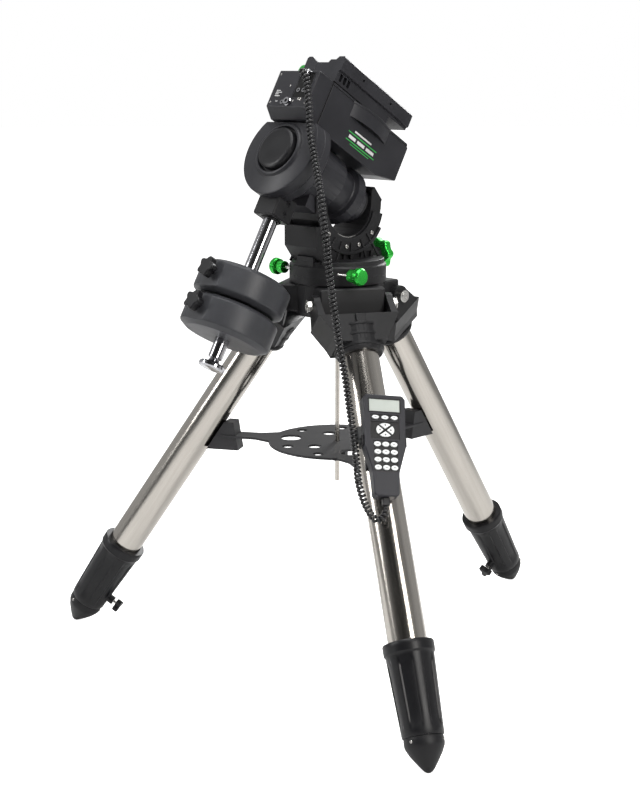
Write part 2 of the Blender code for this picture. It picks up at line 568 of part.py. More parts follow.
def make_handset():
    frame = handset_frame()
    outline = [(-43.0, -8.0), (-37.0, 0.0), (37.0, 0.0), (43.0, -8.0), (41.0, -110.0), (27.0, -160.0),
               (25.0, -205.0), (20.0, -HANDSET_LENGTH), (-20.0, -HANDSET_LENGTH), (-25.0, -205.0),
               (-27.0, -160.0), (-41.0, -110.0)]
    case = node("handset_case", upright(prism(outline, 0.0, 27.0, 2.0)), CHARCOAL, frame)
    pockets = {"window": ((-31.0, -36.0), (31.0, -10.0)), "menu": ((-29.0, -55.0), (29.0, -42.0)),
               "arrow": ((-29.0, -93.0), (29.0, -57.0)), "number": ((-24.0, -160.0), (24.0, -97.0))}
    for low, high in pockets.values():
        pocket = block((low[0], -3.6, low[1]), (high[0], 4.0, high[1]))
        cut(case, pocket, frame)
    low, high = pockets["window"]
    node("handset_window", block((low[0] + GAP, -3.3, low[1] + GAP), (high[0] - GAP, -0.6, high[1] - GAP)),
         WINDOW_GREY, frame)
    edge = 0.5
    low, high = pockets["menu"]
    key_mat("menu_keys", [(x, -48.5, 7.0, 4.0) for x in (-19.0, 0.0, 19.0)],
            (low[0] + edge, low[1] + edge), (high[0] - edge, high[1] - edge), frame)
    low, high = pockets["arrow"]
    arrows = [(0.0, -65.0, 8.0, 5.0), (0.0, -85.0, 8.0, 5.0), (-17.0, -75.0, 7.0, 6.0),
              (17.0, -75.0, 7.0, 6.0)]
    key_mat("arrow_keys", arrows, (low[0] + edge, low[1] + edge), (high[0] - edge, high[1] - edge), frame)
    low, high = pockets["number"]
    numbers = [(x, -104.5 - 16.0 * row, 5.8, 4.4) for row in range(4) for x in (-15.0, 0.0, 15.0)]
    key_mat("number_keys", numbers, (low[0] + edge, low[1] + edge), (high[0] - edge, high[1] - edge), frame)
    holder = node("handset_holder", block((-34.0, -35.4, -150.0), (34.0, -27.3, -80.0), 1.5),
                  DARK_PLASTIC, frame)
    for side in (-1.0, 1.0):
        low_x, high_x = sorted((side * 45.0, side * 41.6))
        unite(holder, block((low_x, -35.0, -104.0), (high_x, -8.0, -84.0)), frame)
        low_x, high_x = sorted((side * 45.0, side * 30.0))
        unite(holder, block((low_x, -35.0, -104.0), (high_x, -31.0, -84.0)), frame)
    arm = block((-16.0, TUBE_RADIUS - 6.0, HANDSET_TOP - 145.0), (16.0, 42.0, HANDSET_TOP - 50.0))
    unite(holder, arm, leg_frame("a"))
    ring = lathe([(TUBE_RADIUS - 4.0, HANDSET_TOP - 75.0), (TUBE_RADIUS + 4.0, HANDSET_TOP - 75.0),
                  (TUBE_RADIUS + 4.0, HANDSET_TOP - 45.0), (TUBE_RADIUS - 4.0, HANDSET_TOP - 45.0)],
                 TUBE_SIDES)
    unite(holder, ring, leg_frame("a"))
    cut(holder, rod(TUBE_RADIUS + GAP, -500.0, -200.0, TUBE_SIDES), leg_frame("a"))
    plug = block((-7.0, -20.0, -HANDSET_LENGTH - 16.0), (7.0, -8.0, -HANDSET_LENGTH - GAP), 1.0)
    node("cord_plug_bottom", plug, DARK_PLASTIC, frame)


def cord_route():
    """The coiled cord's middle line, from the port on the head to the bottom of the handset."""
    start = HEAD @ (Vector((34.0, -92.6, 154.0)) * MM)
    hanging = [(38, -140, 1264), (52, -143, 1250), (62, -149, 1228), (75, -157, 1190), (84, -164, 1150),
               (102, -172, 1110), (124, -184, 1070), (143, -194, 1035), (155, -198, 985), (161, -196, 940),
               (165, -193, 890), (169, -189, 840), (178, -187, 790), (190, -186, 730), (203, -186, 680),
               (216, -189, 632), (232, -196, 590), (249, -206, 555), (268, -219, 522)]
    along_leg = [(59, 44, -395), (56, 45, -430), (50, 49, -458)]
    points = [start, HEAD @ (Vector((34.0, -98.0, 154.0)) * MM)] + [Vector(p) * MM for p in hanging]
    points += [leg_frame("a") @ (Vector(p) * MM) for p in along_leg]
    under = -HANDSET_LENGTH - 16.6
    rise = ((19.0, -18.0, under - 27.0), (5.0, -14.5, under - 22.0), (0.0, -14.0, under - 8.0),
            (0.0, -14.0, under))
    return points + [handset_frame() @ (Vector(p) * MM) for p in rise]


def smooth_line(points, steps):
    """A Catmull-Rom curve through the points, sampled evenly between its two straight end pieces."""
    full = points
    dense = []
    for index in range(1, len(full) - 2):
        before, here, there, after = full[index - 1:index + 3]
        for part in range(12):
            t = part / 12
            dense.append(0.5 * ((2 * here) + (there - before) * t
                                + (2 * before - 5 * here + 4 * there - after) * t * t
                                + (3 * here - before - 3 * there + after) * t ** 3))
    dense.append(points[-2])
    lengths = [0.0]
    for index in range(1, len(dense)):
        lengths.append(lengths[-1] + (dense[index] - dense[index - 1]).length)
    picked = []
    for step in range(steps + 1):
        wanted = lengths[-1] * step / steps
        index = next(i for i, value in enumerate(lengths) if value >= wanted - 1e-9)
        picked.append(dense[index])
    return [points[0]] + picked + [points[-1]]


def make_cord():
    curve = bpy.data.curves.new("handset_cord", "CURVE")
    curve.dimensions = "3D"
    curve.bevel_depth = CORD_RADIUS * MM
    curve.bevel_resolution = 2
    curve.render_resolution_u = 0
    curve.use_fill_caps = True
    points = smooth_line(cord_route(), 46)
    spline = curve.splines.new("POLY")
    spline.points.add(len(points) - 1)
    for place, point in zip(spline.points, points):
        place.co = (*point, 1.0)
    made = bpy.data.objects.new("handset_cord", curve)
    bpy.context.scene.collection.objects.link(made)
    made.data.materials.append(material("handset_cord", DARK_PLASTIC))


def main():
    clear_scene()
    make_hub()
    for letter in LEG_ANGLES:
        make_leg(letter)
    make_spreader()
    make_base()
    make_base_knobs()
    make_rocker()
    make_housing()
    make_head()
    make_declination_box()
    make_declination_drive()
    make_saddle()
    make_counterweights()
    make_handset()
    make_cord()
    for item in bpy.data.objects:
        item.matrix_world = Matrix.Translation((0, -FOOTPRINT_MIDDLE * MM, 0)) @ item.matrix_world


main()
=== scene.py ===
"""Looks of the equatorial mount: finishes, rounded castings, and the detail that the frame leaves out.

Shapes are drawn in millimetres in the mount's own frames: each leg's, the turning head's, the altitude
axis's and the tripod's.  Every piece but the coiled cord rides on the body that carries it.
"""
import math

import bmesh
import bpy
from mathutils import Matrix, Vector


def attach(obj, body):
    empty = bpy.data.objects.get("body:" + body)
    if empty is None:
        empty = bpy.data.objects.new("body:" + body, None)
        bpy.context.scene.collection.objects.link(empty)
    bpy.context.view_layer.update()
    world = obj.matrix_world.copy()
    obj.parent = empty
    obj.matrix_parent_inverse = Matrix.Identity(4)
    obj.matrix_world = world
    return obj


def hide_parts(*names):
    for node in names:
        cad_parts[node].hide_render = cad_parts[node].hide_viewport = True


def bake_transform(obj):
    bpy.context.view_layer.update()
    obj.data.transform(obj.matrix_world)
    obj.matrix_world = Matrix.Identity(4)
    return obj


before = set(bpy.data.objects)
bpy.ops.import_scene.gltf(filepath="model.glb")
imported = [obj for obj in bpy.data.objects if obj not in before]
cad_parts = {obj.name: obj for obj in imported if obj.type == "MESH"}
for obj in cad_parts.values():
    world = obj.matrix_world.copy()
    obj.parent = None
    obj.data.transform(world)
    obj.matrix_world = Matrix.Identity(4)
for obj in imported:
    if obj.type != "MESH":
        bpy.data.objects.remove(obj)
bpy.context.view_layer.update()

MM = 0.001
UP = Vector((0.0, 0.0, 1.0))
TRIPOD_AXIS = Vector((0.0, -0.1162, 0.0))
LEG_ANGLES = {"a": -30.0, "b": 210.0, "c": 90.0}
LEG_TILT = 33.9
PIVOT_RADIUS = 107.8
PIVOT_HEIGHT = 795.0
LATITUDE = 30.4
HEAD_CENTRE = (0.0, -126.6, 1086.4)
ALTITUDE_AXIS = (0.0, -8.0, 995.0)
TUBE_RADIUS = 38.1
CLAMP_TOP = 712.0
CLAMP_END = 889.0
FOOT_TIP = 955.8
SOCKET_LIP = 117.6            # lower lip of the cast socket, down the leg
LEFT_WOUND_IN = 16.0          # the left azimuth screw stands this much further in
COVER_CENTRE = (-62.0, 103.0)
COVER_RADIUS = 135.0
COVER_ARC = 29.0              # half of the wheel cover's arc, degrees
ROUND = 96                    # sides of the large round pieces


# ---------------------------------------------------------------- frames

def frame_matrix(x_axis, y_axis, z_axis, origin):
    made = Matrix.Identity(4)
    for column, axis in enumerate((x_axis, y_axis, z_axis)):
        for row in range(3):
            made[row][column] = axis[row]
    made.translation = Vector(origin) * MM + TRIPOD_AXIS
    return made


def leg_frame(letter):
    """Origin on the leg's pivot: z up along the leg, y out of its front face, x across it."""
    angle = math.radians(LEG_ANGLES[letter])
    tilt = math.radians(LEG_TILT)
    out = Vector((math.cos(angle), math.sin(angle), 0.0))
    along = UP * math.cos(tilt) - out * math.sin(tilt)
    front = out * math.cos(tilt) + UP * math.sin(tilt)
    return frame_matrix(front.cross(along), front, along, out * PIVOT_RADIUS + UP * PIVOT_HEIGHT)


def axis_frame(origin, turn=0.0):
    made = Matrix.Rotation(math.radians(turn), 4, "X")
    made.translation = Vector(origin) * MM + TRIPOD_AXIS
    return made


TRIPOD = axis_frame((0.0, 0.0, 0.0))
HEAD = axis_frame(HEAD_CENTRE, -LATITUDE)
ALTITUDE = axis_frame(ALTITUDE_AXIS)
HANDSET_TURN = -7.5
HANDSET_SPOT = (-12.0, 75.0, -232.0)
HANDSET = (leg_frame("a") @ Matrix.Translation(Vector(HANDSET_SPOT) * MM)
           @ Matrix.Rotation(math.radians(HANDSET_TURN), 4, "Y"))


def facing(axis, at=(0.0, 0.0, 0.0)):
    """Turns a shape made along +Z to lie along +axis, with its base at the point, in metres."""
    turn = UP.rotation_difference(Vector(axis)).to_matrix().to_4x4()
    turn.translation = Vector(at) * MM
    return turn


# ---------------------------------------------------------------- materials

def add(tree, kind, **values):
    made = tree.nodes.new(kind)
    for key, value in values.items():
        setattr(made, key, value)
    return made


def noise(tree, scale, detail, stretch):
    """Noise in the piece's own coordinates, stretched along its axes."""
    place = add(tree, "ShaderNodeTexCoord")
    turn = add(tree, "ShaderNodeMapping")
    turn.inputs["Scale"].default_value = stretch
    made = add(tree, "ShaderNodeTexNoise")
    made.inputs["Scale"].default_value = scale
    made.inputs["Detail"].default_value = detail
    tree.links.new(place.outputs["Object"], turn.inputs["Vector"])
    tree.links.new(turn.outputs["Vector"], made.inputs["Vector"])
    return made.outputs["Fac"]


def span(tree, source, low, high):
    made = add(tree, "ShaderNodeMapRange")
    made.inputs["From Min"].default_value = 0.3
    made.inputs["From Max"].default_value = 0.7
    made.inputs["To Min"].default_value = low
    made.inputs["To Max"].default_value = high
    tree.links.new(source, made.inputs["Value"])
    return made.outputs["Result"]


def look(name, slot, colour, rough, metallic=0.0, grain=900.0, depth=0.04, vary=0.12, patch=14.0,
         stretch=(1.0, 1.0, 1.0), spread=0.05, coat=0.0, specular=0.25):
    """A finish: soft patches of colour and gloss over a fine grain in the surface."""
    made = bpy.data.materials.new(name)
    made.use_nodes = True
    tree = made.node_tree
    shader = tree.nodes["Principled BSDF"]
    shader.inputs["Metallic"].default_value = metallic
    shader.inputs["Coat Weight"].default_value = coat
    shader.inputs["Coat Roughness"].default_value = 0.15
    shader.inputs["Specular IOR Level"].default_value = specular
    patches = noise(tree, patch, 3.0, stretch)
    ramp = add(tree, "ShaderNodeValToRGB")
    for element, share, place in zip(ramp.color_ramp.elements, (1.0 - vary, 1.0 + vary), (0.32, 0.68)):
        element.position = place
        element.color = (*[min(1.0, c * share) for c in colour], 1.0)
    tree.links.new(patches, ramp.inputs["Fac"])
    tree.links.new(ramp.outputs["Color"], shader.inputs["Base Color"])
    tree.links.new(span(tree, patches, max(0.02, rough - spread), rough + spread), shader.inputs["Roughness"])
    if depth:
        fine = noise(tree, grain, 2.0, stretch)
        bump = add(tree, "ShaderNodeBump")
        bump.inputs["Strength"].default_value = min(1.0, depth * 5.0)
        bump.inputs["Distance"].default_value = depth * 0.002
        tree.links.new(fine, bump.inputs["Height"])
        tree.links.new(bump.outputs["Normal"], shader.inputs["Normal"])
    return made, slot


LOOKS = {
    "casting": look("black_cast_paint", "black_casting", (0.010, 0.010, 0.011), 0.44, depth=0.07),
    "charcoal": look("charcoal_satin", "charcoal_casting", (0.017, 0.017, 0.020), 0.40, depth=0.05),
    "plastic": look("black_moulded", "black_plastic", (0.006, 0.006, 0.007), 0.38, grain=1500.0),
    "foot": look("foot_rubber", "foot_plastic", (0.006, 0.006, 0.007), 0.45, grain=700.0, depth=0.08),
    "tube": look("polished_tube", "tube_steel", (0.46, 0.435, 0.40), 0.17, 1.0, grain=60.0, depth=0.012,
                 vary=0.05, patch=7.0, stretch=(26.0, 26.0, 1.0), spread=0.04),
    "steel": look("turned_steel", "tube_steel", (0.56, 0.55, 0.53), 0.24, 1.0, grain=400.0, depth=0.02),
    "chrome": look("chrome_plate", "chrome", (0.46, 0.46, 0.48), 0.14, 1.0, depth=0.0, vary=0.03,
                   spread=0.02),
    "green": look("green_anodised", "green_anodised", (0.035, 0.46, 0.055), 0.24, 0.75, grain=1200.0,
                  depth=0.015, vary=0.08),
    "brass": look("machined_brass", "wheel_brass", (0.62, 0.45, 0.20), 0.30, 1.0),
    "weight": look("weight_coat", "weight_paint", (0.034, 0.035, 0.039), 0.44, depth=0.10, grain=650.0),
    "tray": look("tray_coat", "tray_metal", (0.026, 0.026, 0.028), 0.48, depth=0.06),
    "handset": look("handset_shell", "handset_plastic", (0.018, 0.018, 0.022), 0.42, grain=1400.0),
    "key": look("key_rubber", "key_rubber", (0.66, 0.68, 0.68), 0.55, depth=0.03, vary=0.04),
    "legend": look("key_print", "key_rubber", (0.06, 0.06, 0.065), 0.55, depth=0.0, vary=0.04),
    "glass": look("display_window", "window_glass", (0.42, 0.45, 0.42), 0.12, depth=0.0, vary=0.06, coat=0.6),
    "cord": look("cord_jacket", "cord_rubber", (0.014, 0.014, 0.015), 0.26, grain=1600.0, depth=0.02, coat=0.3),
    "pale_print": look("pale_print", "charcoal_casting", (0.50, 0.50, 0.50), 0.5, depth=0.0),
    "green_print": look("green_print", "charcoal_casting", (0.03, 0.34, 0.06), 0.5, depth=0.0),
    # Painted shade: a near-black matt finish for the port recess and the jack holes, which are dark only from shade;
    # the box seam uses it too
    "shadow": look("seam_black_and_painted_shade", "black_casting", (0.004, 0.004, 0.004), 0.7, depth=0.0, specular=0.2),
}


# ---------------------------------------------------------------- mesh work

def lathe(points, segments=ROUND):
    """A closed (radius, height) outline turned about Z; its radii may touch the axis."""
    work = bmesh.new()
    rings = []
    for radius, height in points:
        if radius < 1e-6:
            rings.append([work.verts.new((0.0, 0.0, height))])
            continue
        turns = [2.0 * math.pi * step / segments for step in range(segments)]
        rings.append([work.verts.new((radius * math.cos(t), radius * math.sin(t), height)) for t in turns])
    for index, ring in enumerate(rings):
        following = rings[(index + 1) % len(rings)]
        if len(ring) == 1 and len(following) == 1:
            continue
        for step in range(segments):
            after = (step + 1) % segments
            corners = [ring[step % len(ring)], ring[after % len(ring)],
                       following[after % len(following)], following[step % len(following)]]
            work.faces.new(list(dict.fromkeys(corners)))
    return work


def rod(radius, low, high, segments=48, edge=0.6):
    return lathe([(0, low), (radius - edge, low), (radius, low + edge), (radius, high - edge),
                  (radius - edge, high), (0, high)], segments)


def prism(outline, low, high):
    work = bmesh.new()
    floor = [work.verts.new((x, y, low)) for x, y in outline]
    roof = [work.verts.new((x, y, high)) for x, y in outline]
    work.faces.new(floor)
    work.faces.new(roof)
    for index in range(len(outline)):
        after = (index + 1) % len(outline)
        work.faces.new((floor[index], floor[after], roof[after], roof[index]))
    return work


def turned(work, matrix):
    bmesh.ops.transform(work, matrix=matrix, verts=work.verts)
    return work


def across(work):
    """Turns a prism drawn in y and z so that its depth runs along X."""
    return turned(work, Matrix(((0, 0, 1, 0), (1, 0, 0, 0), (0, 1, 0, 0), (0, 0, 0, 1))))


def upright(work):
    """Turns a prism drawn in x and z so that its depth runs along -Y."""
    return turned(work, Matrix(((1, 0, 0, 0), (0, 0, -1, 0), (0, 1, 0, 0), (0, 0, 0, 1))))


def moved(work, matrix):
    made = matrix.copy()
    made.translation = matrix.translation / MM
    return turned(work, made)


def block(low, high):
    outline = [(low[0], low[1]), (high[0], low[1]), (high[0], high[1]), (low[0], high[1])]
    return prism(outline, low[2], high[2])


def arc(radius, start, end, steps, centre=(0.0, 0.0)):
    turns = [math.radians(start + (end - start) * step / steps) for step in range(steps + 1)]
    return [(centre[0] + radius * math.cos(t), centre[1] + radius * math.sin(t)) for t in turns]


def band(inner, outer, start, end, low, high, steps=40):
    """Part of a flat ring, extruded from low to high."""
    return prism(arc(outer, start, end, steps) + arc(inner, end, start, steps), low, high)


def lobed(radius, depth, lobes, per_lobe=16):
    points = []
    for step in range(lobes * per_lobe):
        turn = 2.0 * math.pi * step / (lobes * per_lobe)
        size = radius - depth * (0.5 - 0.5 * math.cos(lobes * turn))
        points.append((size * math.cos(turn), size * math.sin(turn)))
    return points


def join(*works):
    """Several closed shapes in one mesh."""
    made = bmesh.new()
    for work in works:
        mesh = bpy.data.meshes.new("joined")
        work.to_mesh(mesh)
        work.free()
        made.from_mesh(mesh)
        bpy.data.meshes.remove(mesh)
    return made


def soften(made, edge, steps=3, angle=32.0):
    step = made.modifiers.new("edges", "BEVEL")
    step.width = edge * MM
    step.segments = steps
    step.limit_method = "ANGLE"
    step.angle_limit = math.radians(angle)
    step.harden_normals = False
    made.modifiers.new("normals", "WEIGHTED_NORMAL").keep_sharp = True


def piece(name, work, place, body, finish, edge=0.0, cuts=(), replaces=()):
    """Turns bmesh geometry, in millimetres, into a finished piece on its body."""
    bmesh.ops.recalc_face_normals(work, faces=work.faces)
    bmesh.ops.scale(work, vec=(MM, MM, MM), verts=work.verts)
    mesh = bpy.data.meshes.new(name)
    work.to_mesh(mesh)
    work.free()
    made = bpy.data.objects.new(name, mesh)
    bpy.context.scene.collection.objects.link(made)
    for index, tool in enumerate(cuts):
        carve(made, tool, f"{name}_cut_{index}")
    made.data.shade_smooth()
    made.data.set_sharp_from_angle(angle=math.radians(32.0))
    made.matrix_world = place
    if edge:
        soften(made, edge)
    made.data.materials.clear()
    made.data.materials.append(LOOKS[finish][0])
    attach(made, body)
    if replaces:
        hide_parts(*replaces)
    return made


def carve(made, work, name):
    """Cuts one shape out of a mesh, and keeps only the result."""
    bmesh.ops.recalc_face_normals(work, faces=work.faces)
    bmesh.ops.scale(work, vec=(MM, MM, MM), verts=work.verts)
    mesh = bpy.data.meshes.new(name)
    work.to_mesh(mesh)
    work.free()
    tool = bpy.data.objects.new(name, mesh)
    bpy.context.scene.collection.objects.link(tool)
    step = made.modifiers.new("cut", "BOOLEAN")
    step.operation = "DIFFERENCE"
    step.solver = "EXACT"
    step.object = tool
    bpy.context.view_layer.update()
    result = bpy.data.meshes.new_from_object(made.evaluated_get(bpy.context.evaluated_depsgraph_get()))
    made.modifiers.clear()
    made.data = result
    bpy.data.objects.remove(tool, do_unlink=True)


def dress(nodes, finish, edge=0.0):
    """Gives nodes of the frame their finish, and rounds their edges."""
    for name in nodes:
        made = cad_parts[name]
        made.data.materials.clear()
        made.data.materials.append(LOOKS[finish][0])
        for polygon in made.data.polygons:
            polygon.material_index = 0
        if edge:
            made.modifiers.new("weld", "WELD").merge_threshold = 0.00002
            flat = made.modifiers.new("flat", "DECIMATE")
            flat.decimate_type = "DISSOLVE"
            flat.angle_limit = math.radians(1.0)
            soften(made, edge, 2)


# ---------------------------------------------------------------- cord

CORD_START = (34.0, -92.6, 154.0)
CORD_BEND = (34.0, -98.0, 154.0)
CORD_HANGING = [(38, -140, 1264), (52, -143, 1250), (62, -149, 1228), (75, -157, 1190), (84, -164, 1150),
                (102, -172, 1110), (124, -184, 1070), (143, -194, 1035), (155, -198, 985), (161, -196, 940),
                (165, -193, 890), (169, -189, 840), (178, -187, 790), (190, -186, 730), (203, -186, 680),
                (216, -189, 632), (232, -196, 590), (249, -206, 555), (268, -219, 522)]
CORD_ALONG_LEG = [(59, 44, -395), (56, 45, -430), (50, 49, -458)]
HANDSET_LENGTH = 210.0
WIRE_RADIUS = 2.8
COIL_RADIUS = 5.2             # centre of the coiled wire
COIL_PITCH = 8.5
COIL_STEPS = 14               # points in a turn of the coil
CORD_SECTIONS = (("polar_head", "altitude_cradle"), ("altitude_cradle", "azimuth_head"),
                 ("azimuth_head", "tripod"), ("tripod", "leg_a"))


def cord_middle():
    """The coil's own middle line, as the frame's plain tube follows it."""
    points = [HEAD @ (Vector(p) * MM) for p in (CORD_START, CORD_BEND)]
    points += [TRIPOD @ (Vector(p) * MM) for p in CORD_HANGING]
    points += [leg_frame("a") @ (Vector(p) * MM) for p in CORD_ALONG_LEG]
    under = -HANDSET_LENGTH - 16.6
    rise = ((19.0, -18.0, under - 27.0), (5.0, -14.5, under - 22.0), (0.0, -14.0, under - 8.0),
            (0.0, -14.0, under))
    return points + [HANDSET @ (Vector(p) * MM) for p in rise]


def dense_curve(points, parts=14):
    made = [points[0]]
    for index in range(1, len(points) - 2):
        before, here, there, after = points[index - 1:index + 3]
        for part in range(parts):
            t = part / parts
            made.append(0.5 * ((2 * here) + (there - before) * t
                               + (2 * before - 5 * here + 4 * there - after) * t * t
                               + (3 * here - before - 3 * there + after) * t ** 3))
    return made + [points[-2], points[-1]]


def at_length(line, lengths, wanted):
    index = next((i for i in range(1, len(lengths)) if lengths[i] >= wanted), len(lengths) - 1)
    share = (wanted - lengths[index - 1]) / max(1e-9, lengths[index] - lengths[index - 1])
    return line[index - 1].lerp(line[index], min(1.0, max(0.0, share)))


def coil_line():
    """The wire's own line: straight at both ends, and a helix round the middle line between them."""
    line = dense_curve(cord_middle())
    lengths = [0.0]
    for before, after in zip(line, line[1:]):
        lengths.append(lengths[-1] + (after - before).length)
    total = lengths[-1]
    count = int(total / (COIL_PITCH * MM) * COIL_STEPS)
    side = Vector((1.0, 0.0, 0.0))
    made = []
    for step in range(count + 1):
        spot = total * step / count
        here = at_length(line, lengths, spot)
        way = (at_length(line, lengths, min(total, spot + 0.002))
               - at_length(line, lengths, max(0.0, spot - 0.002))).normalized()
        side = (side - way * side.dot(way)).normalized()
        other = way.cross(side)
        ease = min(1.0, spot / 0.014, (total - spot) / 0.014)
        turn = 2.0 * math.pi * spot / (COIL_PITCH * MM)
        made.append(here + (side * math.cos(turn) + other * math.sin(turn)) * COIL_RADIUS * MM * ease)
    return made


def tube_mesh(name, points, radius, sides=10):
    """A round tube through every point, closed at both ends."""
    work = bmesh.new()
    rings = []
    side = Vector((0.3, 0.2, 1.0))
    for index, here in enumerate(points):
        way = (points[min(index + 1, len(points) - 1)] - points[max(index - 1, 0)]).normalized()
        side = (side - way * side.dot(way)).normalized()
        other = way.cross(side)
        turns = [2.0 * math.pi * step / sides for step in range(sides)]
        rings.append([work.verts.new(here + (side * math.cos(t) + other * math.sin(t)) * radius)
                      for t in turns])
    for before, after in zip(rings, rings[1:]):
        for step in range(sides):
            following = (step + 1) % sides
            work.faces.new((before[step], before[following], after[following], after[step]))
    work.faces.new(list(reversed(rings[0])))
    work.faces.new(rings[-1])
    mesh = bpy.data.meshes.new(name)
    work.to_mesh(mesh)
    work.free()
    mesh.shade_smooth()
    mesh.materials.append(LOOKS["cord"][0])
    made = bpy.data.objects.new(name, mesh)
    bpy.context.scene.collection.objects.link(made)
    return made


def make_cord():
    """Four lengths of one coiled cord, split at even steps along the wire."""
    line = coil_line()
    share = len(line) // len(CORD_SECTIONS)
    for index, (upper, lower) in enumerate(CORD_SECTIONS):
        last = index == len(CORD_SECTIONS) - 1
        points = line[index * share:] if last else line[index * share:(index + 1) * share + 1]
        made = tube_mesh(f"cord_coil_{index + 1}", points, WIRE_RADIUS * MM)
        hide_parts("handset_cord")
        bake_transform(made)


# ---------------------------------------------------------------- tripod

def screw_head(radius, height, at, axis):
    """A socket-head screw: a round head with a shallow round recess in it."""
    head = lathe([(0, height - 1.8), (radius * 0.45, height - 1.8), (radius * 0.5, height),
                  (radius - 0.5, height), (radius, height - 0.6), (radius, 0), (0, 0)], 24)
    return moved(head, facing(axis, at))


def clamp_surface():
    """The clamp's moulded sleeve, with tall shallow panels all round it."""
    work = bmesh.new()
    heights = [CLAMP_TOP, CLAMP_TOP + 2, 720, 732, 736, 742, 748, 756, 790, 820, 850, 862, 870, 876,
               CLAMP_END - 2, CLAMP_END]
    rings = []
    sides = 120
    for height in heights:
        taper = (height - CLAMP_TOP) / (CLAMP_END - CLAMP_TOP)
        base = 49.8 if height < 734 else 47.0 - 6.7 * (height - 734) / (CLAMP_END - 734)
        edge = 1.2 if height in (CLAMP_TOP, CLAMP_END) else 0.0
        inside = max(0.0, min(1.0, (height - 740) / 14.0, (874 - height) / 12.0))
        ring = []
        for step in range(sides):
            turn = 2.0 * math.pi * step / sides
            wave = math.cos(6.0 * turn)
            panel = max(0.0, min(1.0, (wave + 0.35) * 3.0))
            size = base - edge - 3.1 * panel * inside * (1.0 - 0.2 * taper)
            ring.append(work.verts.new((size * math.cos(turn), size * math.sin(turn), -height)))
        rings.append(ring)
    bore = [[work.verts.new((r * math.cos(2 * math.pi * s / sides), r * math.sin(2 * math.pi * s / sides), -h))
             for s in range(sides)] for r, h in ((34.4, CLAMP_END), (38.5, CLAMP_TOP))]
    rings += bore
    for index, ring in enumerate(rings):
        following = rings[(index + 1) % len(rings)]
        for step in range(sides):
            after = (step + 1) % sides
            work.faces.new((ring[step], ring[after], following[after], following[step]))
    return work


def make_leg(letter):
    place = leg_frame(letter)
    leg = "leg_" + letter
    tube = lathe([(36.1, -800.0), (TUBE_RADIUS, -800.0), (TUBE_RADIUS, -48.0), (36.1, -48.0)])
    piece(f"tube_{letter}", tube, place, leg, "tube", replaces=["leg_tube_" + letter])
    piece(f"clamp_sleeve_{letter}", clamp_surface(), place, leg, "plastic")
    rings = []
    for depth in (63.0, 84.0, 106.0):
        rings.append(lathe([(49.6, -depth - 3.0), (51.6, -depth - 2.0), (51.6, -depth + 2.0), (49.6, -depth + 3.0),
                            (48.0, -depth)], 72))
    rings.append(lathe([(38.6, -SOCKET_LIP), (46.0, -SOCKET_LIP), (47.5, -SOCKET_LIP + 1.5), (47.5, -113.0),
                        (38.6, -113.0)], 72))
    piece(f"socket_rings_{letter}", join(*rings), place, leg, "casting")
    rib = upright(prism([(-11.0, -42.0), (11.0, -42.0), (8.0, -98.0), (-8.0, -98.0)], 0.0, 5.0))
    rib = moved(rib, Matrix.Translation((0.0, 49.5 * MM, 0.0)))
    piece(f"yoke_rib_{letter}", join(rib), place, leg, "casting", 1.5)
    foot = [(34.0, -CLAMP_END - 0.4), (37.4, -CLAMP_END - 0.4), (38.4, -893.0), (38.4, -904.0), (37.4, -908.0)]
    foot += [(35.6, -912.0), (31.0, -921.0), (21.0, -936.0), (12.0, -948.0), (7.5, -953.0),
             (3.0, -FOOT_TIP + 0.6), (0, -FOOT_TIP + 0.3), (0, -FOOT_TIP + 6.0), (0, -900.0), (34.0, -900.0)]
    piece(f"foot_boot_{letter}", lathe(foot, 72), place, "foot_" + letter, "foot")
    inner = lathe([(31.0, -905.0), (34.0, -905.0), (34.0, -420.0), (31.0, -420.0)])
    piece(f"inner_tube_{letter}", inner, place, "foot_" + letter, "tube",
          replaces=["leg_extension_" + letter])
    screws = [screw_head(3.0, 2.2, (38.0 * math.cos(t), 38.0 * math.sin(t), -898.0), (math.cos(t), math.sin(t), 0))
              for t in (math.radians(35.0), math.radians(145.0), math.radians(270.0))]
    piece(f"foot_screws_{letter}", join(*screws), place, "foot_" + letter, "steel")
    knob = moved(prism(lobed(17.5, 9.0, 3), 61.5, 74.5), facing((0, -1, 0), (0, 0, -855.0)))
    stud = moved(rod(4.0, 44.0, 66.0, 24), facing((0, -1, 0), (0, 0, -855.0)))
    piece(f"wing_knob_{letter}", knob, place, "clamp_screw_" + letter, "plastic", 2.0,
          replaces=["clamp_knob_" + letter])
    piece(f"wing_stud_{letter}", stud, place, "clamp_screw_" + letter, "steel")
    boss = moved(rod(10.0, 38.0, 54.0, 32), facing((0, -1, 0), (0, 0, -855.0)))
    piece(f"clamp_boss_{letter}", boss, place, leg, "plastic", replaces=["leg_clamp_" + letter])
    caps = []
    for side in (-1.0, 1.0):
        caps.append(moved(rod(13.0, 94.5, 96.5, 40), facing((side, 0, 0))))
        caps.append(screw_head(8.5, 8.0, (side * 89.5, 0, 0), (side, 0, 0)))
    piece(f"pivot_caps_{letter}", join(*caps), place, "tripod", "steel")


def make_tray():
    dress(["spreader_tray"], "tray", 0.8)
    grip = prism(lobed(24.0, 4.0, 6), 438.0, 473.0)
    piece("tray_grip", grip, TRIPOD, "tray_nut", "plastic", 2.0, cuts=[rod(5.9, 420.0, 500.0, 32)],
          replaces=["spreader_knob"])
    piece("threaded_rod", threaded(5.2, 389.0, 762.0, 3.0), TRIPOD, "tripod", "tube",
          replaces=["center_rod"])


def threaded(radius, low, high, pitch):
    """A rod whose surface rises and falls like a screw's thread."""
    points = [(0, low)]
    height = low
    while height < high - pitch:
        points += [(radius - 0.3, height), (radius, height + pitch * 0.5)]
        height += pitch
    return lathe(points + [(radius - 0.6, high), (0, high)], 24)


# ---------------------------------------------------------------- base and cradle

